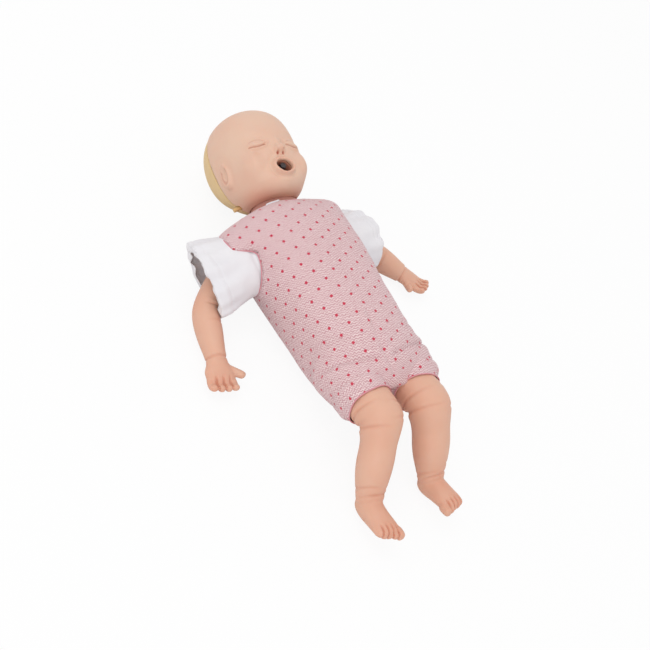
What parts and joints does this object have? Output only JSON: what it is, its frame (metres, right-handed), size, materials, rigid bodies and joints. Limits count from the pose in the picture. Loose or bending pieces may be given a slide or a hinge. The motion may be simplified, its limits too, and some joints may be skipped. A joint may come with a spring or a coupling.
{
  "type": "infant choking training manikin",
  "caption": "Baby-sized training manikin lying on its back, with open mouth, sprung chest, turning head and limbs, dotted romper and white cap-sleeve shirt.",
  "frame": {"origin": "middle of the flat patch of romper that the back rests on, on the floor plane", "axes": "+Y towards the crown of the head, +Z out of the chest, +X to the manikin's own left"},
  "size_m": [0.387, 0.5693, 0.137],
  "materials": {
    "skin_vinyl": "soft matte vinyl, pinkish beige, redder in the creases",
    "romper_cloth": "pale pink woven cotton with small red dots",
    "shirt_cloth": "smooth white cotton",
    "skull_plastic": "hard tan plastic",
    "peg_plastic": "yellowish plastic",
    "mouth_vinyl": "reddish soft vinyl",
    "object_plastic": "dark grey moulded plastic",
    "shell_plastic": "off-white moulded plastic",
    "clear_rubber": "soft translucent rubber",
    "steel": "plated steel"
  },
  "bodies": {
    "torso": {"romper": "romper_cloth", "undershirt": "shirt_cloth", "chest_shell": "shell_plastic", "back_shell": "shell_plastic", "shell_screws": "steel", "guide_tube": "shell_plastic", "chest_spring": "steel", "lung_bellows": "clear_rubber", "airway_tube": "clear_rubber", "neck_skin": "skin_vinyl", "neck_bearing": "shell_plastic"},
    "chest": {"chest_plate": "shell_plastic", "guide_rod": "shell_plastic"},
    "neck_swivel": {"neck_yoke": "shell_plastic", "neck_pin": "steel"},
    "head": {"face_skin": "skin_vinyl", "skull_front": "skull_plastic", "skull_back": "skull_plastic", "mask_peg_right": "peg_plastic", "mask_peg_left": "peg_plastic", "mouth_liner": "mouth_vinyl", "choking_object": "object_plastic", "head_carrier": "shell_plastic"},
    "arm_right": {"right_arm": "skin_vinyl", "right_arm_plug": "shell_plastic"},
    "arm_left": {"left_arm": "skin_vinyl", "left_arm_plug": "shell_plastic"},
    "leg_right": {"right_leg": "skin_vinyl", "right_leg_plug": "shell_plastic"},
    "leg_left": {"left_leg": "skin_vinyl", "left_leg_plug": "shell_plastic"}
  },
  "joints": [
    {"name": "head_turn", "type": "hinge", "parent": "torso", "child": "neck_swivel", "pos_m": [0, 0.147, 0.064], "axis": [0, 0.9903, 0.1392], "range_deg": [-70, 70], "deforming": ["airway_tube"]},
    {"name": "head_tilt", "type": "hinge", "parent": "neck_swivel", "child": "head", "pos_m": [0, 0.147, 0.064], "axis": [-1, 0, 0], "range_deg": [0, 30], "deforming": ["airway_tube"]},
    {"name": "chest_press", "type": "slide", "parent": "torso", "child": "chest", "axis": [0, 0, -1], "range_m": [0, 0.035], "stiffness_N_per_m": 1500, "deforming": ["chest_spring", "lung_bellows"]},
    {"name": "shoulder_right", "type": "hinge", "parent": "torso", "child": "arm_right", "pos_m": [-0.062, 0.097, 0.055], "axis": [-0.9659, 0.2588, 0], "range_deg": [-30, 120], "deforming": ["undershirt"]},
    {"name": "shoulder_left", "type": "hinge", "parent": "torso", "child": "arm_left", "pos_m": [0.062, 0.097, 0.055], "axis": [0.9659, 0.2588, 0], "range_deg": [-120, 30], "deforming": ["undershirt"]},
    {"name": "hip_right", "type": "hinge", "parent": "torso", "child": "leg_right", "pos_m": [-0.03192, -0.0915, 0.055], "axis": [-0.766, -0.6428, 0], "range_deg": [-20, 70], "deforming": ["romper"]},
    {"name": "hip_left", "type": "hinge", "parent": "torso", "child": "leg_left", "pos_m": [0.03908, -0.0915, 0.055], "axis": [0.766, -0.6428, 0], "range_deg": [-70, 20], "deforming": ["romper"]}
  ]
}
